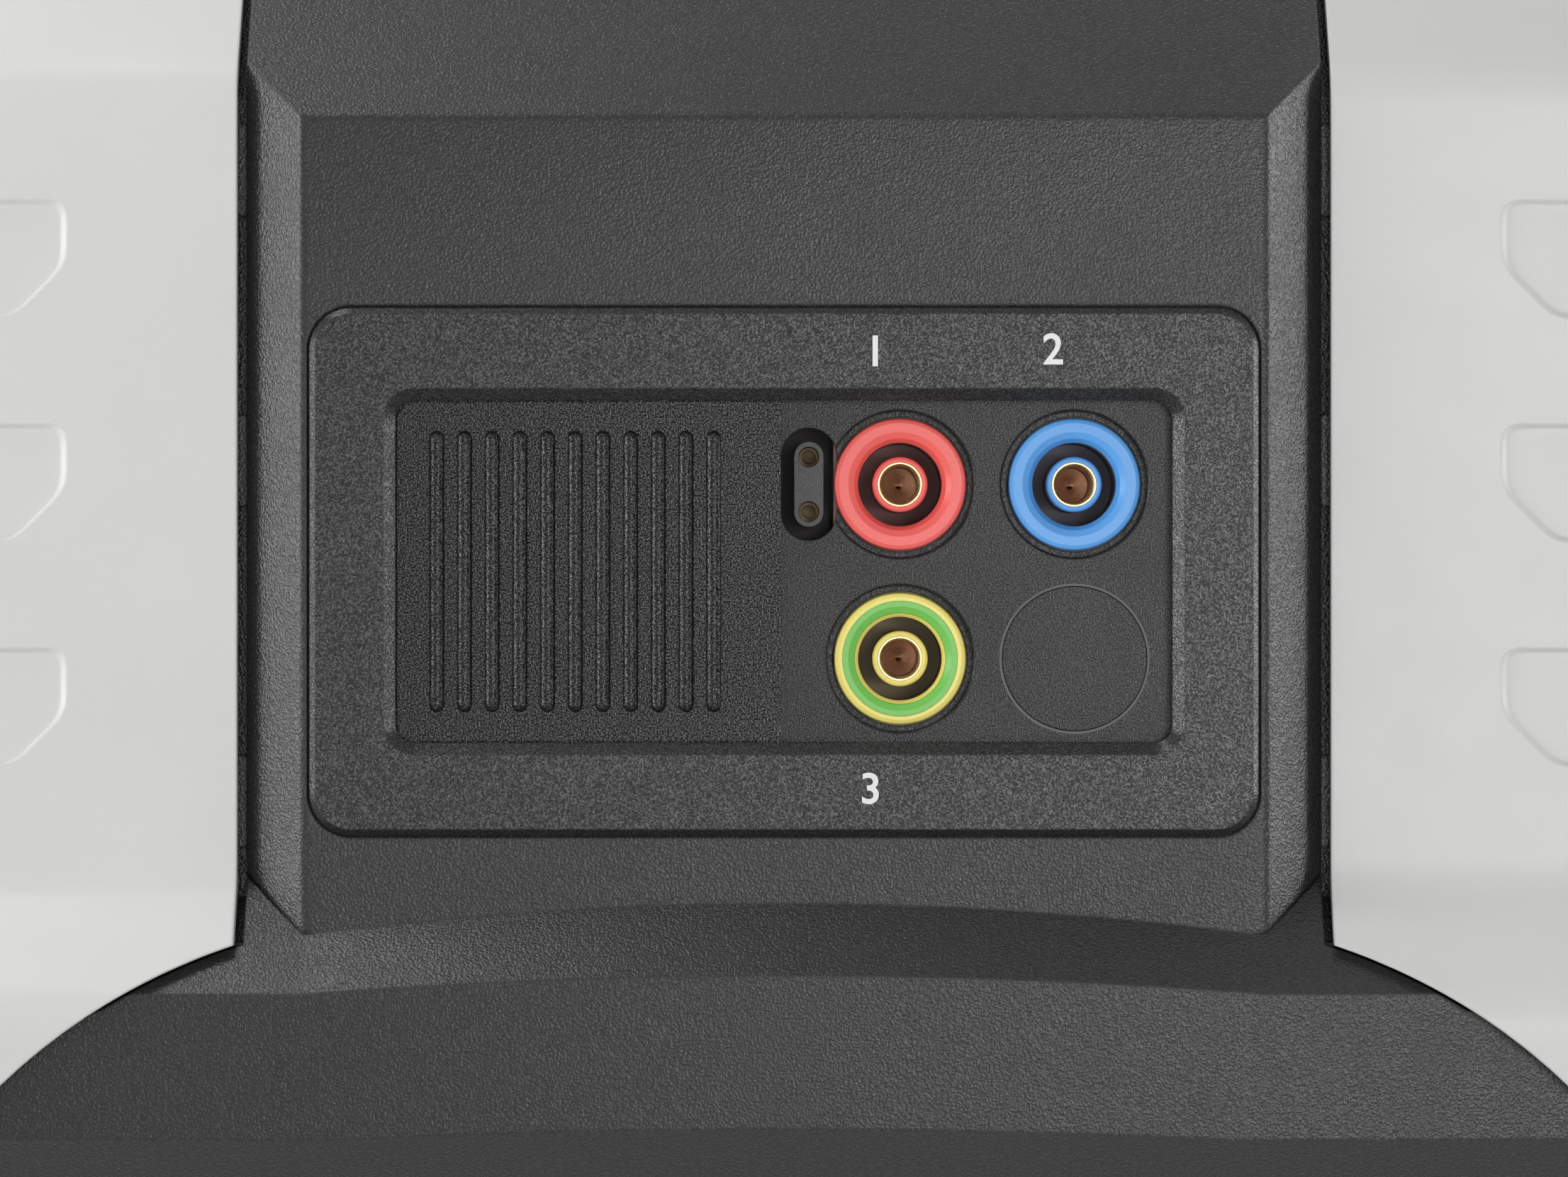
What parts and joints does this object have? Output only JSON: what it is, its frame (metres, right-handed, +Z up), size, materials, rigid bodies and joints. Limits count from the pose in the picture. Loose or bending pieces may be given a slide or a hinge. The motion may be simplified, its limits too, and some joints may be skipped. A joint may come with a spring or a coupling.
{
  "type": "electrical installation tester",
  "caption": "Desk-and-neck-strap installation tester: black wedge housing between pale side grips, safety sockets behind a sliding cover, sloped display and selector face.",
  "frame": {"origin": "centre of the overall box, at the underside of the rubber feet", "axes": "+X to the right of whoever looks at the sockets, -Y out of the socket side, +Y out of the control side, +Z up"},
  "size_m": [0.252, 0.112, 0.15],
  "materials": {
    "black_housing": "fine spark-eroded grain",
    "pale_grip": "fine satin grain",
    "plate_black": "fine grain",
    "carrier_black": "fine grain",
    "cover_black": "satin",
    "red_plastic": "semi-gloss",
    "blue_plastic": "semi-gloss",
    "yellow_plastic": "semi-gloss",
    "green_plastic": "semi-gloss",
    "contact_brass": "turned",
    "inlet_black": "gloss",
    "jack_black": "satin",
    "bright_steel": "plain",
    "circuit_board": "solder mask",
    "relay_case": "moulded",
    "fuse_ceramic": "glazed",
    "fascia_black": "fine grain",
    "lens": "clear",
    "display": "liquid crystal",
    "knob_black": "satin",
    "switch_blue": "moulded",
    "key_grey": "satin",
    "start_key": "satin",
    "mat_rubber": "soft",
    "core_metal": "varnished",
    "chip_black": "moulded",
    "cell_wrap": "printed sleeve",
    "foot_rubber": "soft"
  },
  "bodies": {
    "housing": {"rear_housing": "black_housing", "front_housing": "black_housing", "left_grip": "pale_grip", "right_grip": "pale_grip", "terminal_plate": "plate_black", "socket_carrier": "carrier_black", "red_socket": "red_plastic", "blue_socket": "blue_plastic", "earth_socket": "yellow_plastic", "earth_socket_ring": "green_plastic", "red_contact": "contact_brass", "blue_contact": "contact_brass", "earth_contact": "contact_brass", "probe_inlet": "inlet_black", "probe_contacts": "contact_brass", "charger_jack": "jack_black", "data_socket": "bright_steel", "serial_socket": "jack_black", "input_board": "circuit_board", "input_relays": "relay_case", "input_fuses": "fuse_ceramic", "fascia": "fascia_black", "display_lens": "lens", "display_module": "display", "selector_switch": "switch_blue", "key_mat": "mat_rubber", "key_board": "circuit_board", "main_board": "circuit_board", "board_spacers": "contact_brass", "transformer": "core_metal", "board_chips": "chip_black", "buzzer": "chip_black", "battery_tray": "carrier_black", "battery_cells": "cell_wrap", "battery_contacts": "bright_steel", "battery_door": "black_housing", "door_screws": "bright_steel", "housing_screws": "bright_steel", "grip_screws": "bright_steel", "feet": "foot_rubber"},
    "cover": {"sliding_cover": "cover_black"},
    "selector": {"selector_knob": "knob_black", "selector_shaft": "bright_steel"},
    "soft_key_1_cap": {"soft_key_1": "key_grey"},
    "soft_key_2_cap": {"soft_key_2": "key_grey"},
    "soft_key_3_cap": {"soft_key_3": "key_grey"},
    "soft_key_4_cap": {"soft_key_4": "key_grey"},
    "power_key_cap": {"power_key": "key_grey"},
    "menu_key_cap": {"menu_key": "key_grey"},
    "memory_key_cap": {"memory_key": "key_grey"},
    "up_key_cap": {"up_key": "key_grey"},
    "down_key_cap": {"down_key": "key_grey"},
    "left_key_cap": {"left_key": "key_grey"},
    "right_key_cap": {"right_key": "key_grey"},
    "test_key_cap": {"test_key": "start_key"}
  },
  "joints": [
    {"name": "cover_slide", "type": "slide", "parent": "housing", "child": "cover", "axis": [1, 0, 0], "range_m": [0, 0.0405]},
    {"name": "selector_turn", "type": "hinge", "parent": "housing", "child": "selector", "pos_m": [-0.056, 0.0316, 0.11595], "axis": [0, 0.9426, 0.3338], "range_deg": [-150, 150]},
    {"name": "soft_key_1_press", "type": "slide", "parent": "housing", "child": "soft_key_1_cap", "axis": [0, -0.9426, -0.3338], "range_m": [0, 0.001], "stiffness_N_per_m": 1000},
    {"name": "soft_key_2_press", "type": "slide", "parent": "housing", "child": "soft_key_2_cap", "axis": [0, -0.9426, -0.3338], "range_m": [0, 0.001], "stiffness_N_per_m": 1000},
    {"name": "soft_key_3_press", "type": "slide", "parent": "housing", "child": "soft_key_3_cap", "axis": [0, -0.9426, -0.3338], "range_m": [0, 0.001], "stiffness_N_per_m": 1000},
    {"name": "soft_key_4_press", "type": "slide", "parent": "housing", "child": "soft_key_4_cap", "axis": [0, -0.9426, -0.3338], "range_m": [0, 0.001], "stiffness_N_per_m": 1000},
    {"name": "power_key_press", "type": "slide", "parent": "housing", "child": "power_key_cap", "axis": [0, -0.9426, -0.3338], "range_m": [0, 0.001], "stiffness_N_per_m": 1000},
    {"name": "menu_key_press", "type": "slide", "parent": "housing", "child": "menu_key_cap", "axis": [0, -0.9426, -0.3338], "range_m": [0, 0.001], "stiffness_N_per_m": 1000},
    {"name": "memory_key_press", "type": "slide", "parent": "housing", "child": "memory_key_cap", "axis": [0, -0.9426, -0.3338], "range_m": [0, 0.001], "stiffness_N_per_m": 1000},
    {"name": "up_key_press", "type": "slide", "parent": "housing", "child": "up_key_cap", "axis": [0, -0.9426, -0.3338], "range_m": [0, 0.001], "stiffness_N_per_m": 1000},
    {"name": "down_key_press", "type": "slide", "parent": "housing", "child": "down_key_cap", "axis": [0, -0.9426, -0.3338], "range_m": [0, 0.001], "stiffness_N_per_m": 1000},
    {"name": "left_key_press", "type": "slide", "parent": "housing", "child": "left_key_cap", "axis": [0, -0.9426, -0.3338], "range_m": [0, 0.001], "stiffness_N_per_m": 1000},
    {"name": "right_key_press", "type": "slide", "parent": "housing", "child": "right_key_cap", "axis": [0, -0.9426, -0.3338], "range_m": [0, 0.001], "stiffness_N_per_m": 1000},
    {"name": "test_key_press", "type": "slide", "parent": "housing", "child": "test_key_cap", "axis": [0, -0.9426, -0.3338], "range_m": [0, 0.001], "stiffness_N_per_m": 1000}
  ]
}
